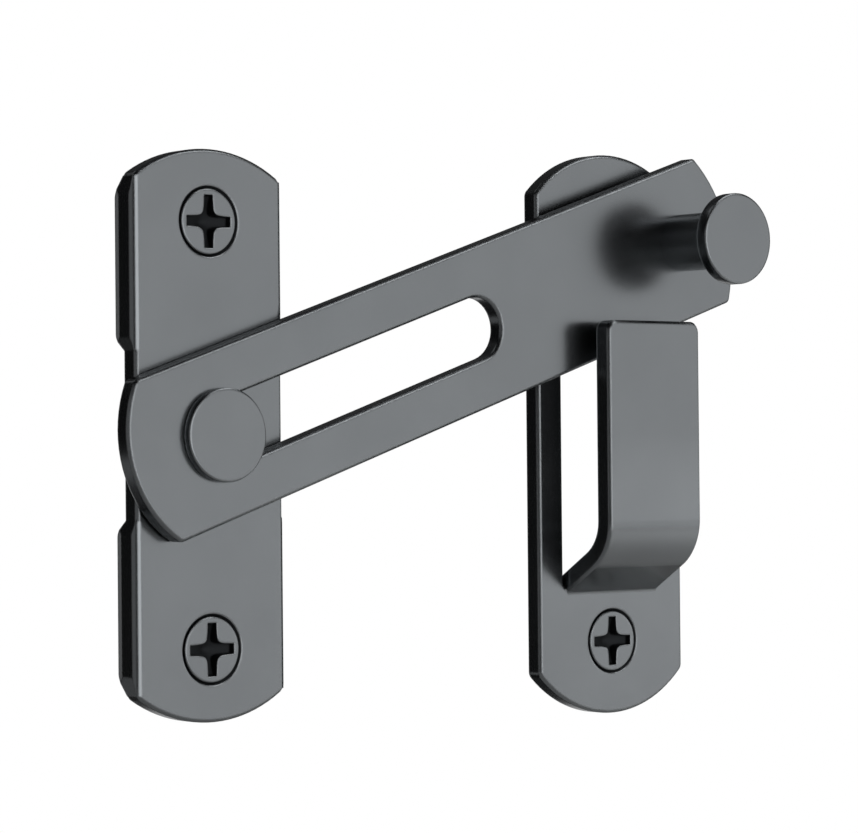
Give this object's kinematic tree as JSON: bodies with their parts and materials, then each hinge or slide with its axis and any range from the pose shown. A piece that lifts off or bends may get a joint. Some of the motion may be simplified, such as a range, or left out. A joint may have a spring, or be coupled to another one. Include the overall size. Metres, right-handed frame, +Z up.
{
  "type": "barn door flip latch",
  "caption": "Flip latch for a sliding barn door: a slotted arm turns and slides on a riveted base plate and drops into the hook of a separate keeper plate.",
  "frame": {"origin": "on the wall's face, on the pivot rivet's axis, midway between the base plate's screws", "axes": "+Z up, +X along the wall from the pivot to the keeper, +Y into the wall, so the latch is looked at from -Y"},
  "size_m": [0.1015, 0.0317, 0.0762],
  "materials": {
    "coated_sheet": "satin dark grey powder coat",
    "coated_turned": "satin dark grey powder coat",
    "coated_screw": "satin dark grey",
    "nylon": "plain black nylon"
  },
  "bodies": {
    "mounted_plates": {"base_plate": "coated_sheet", "keeper_plate": "coated_sheet", "screw_base_top": "coated_screw", "screw_base_bottom": "coated_screw", "screw_keeper_top": "coated_screw", "screw_keeper_bottom": "coated_screw"},
    "swivel": {"pivot_rivet": "coated_turned", "spacer_washer": "nylon"},
    "arm": {"latch_arm": "coated_sheet", "knob": "coated_turned"}
  },
  "joints": [
    {"name": "arm_swing", "type": "hinge", "parent": "mounted_plates", "child": "swivel", "pos_m": [0, -0.0055, 0], "axis": [0, -1, 0], "range_deg": [-22.7, 312.6]},
    {"name": "arm_slide", "type": "slide", "parent": "swivel", "child": "arm", "axis": [0.9478, 0, 0.319], "range_m": [-0.0431, 0]}
  ]
}
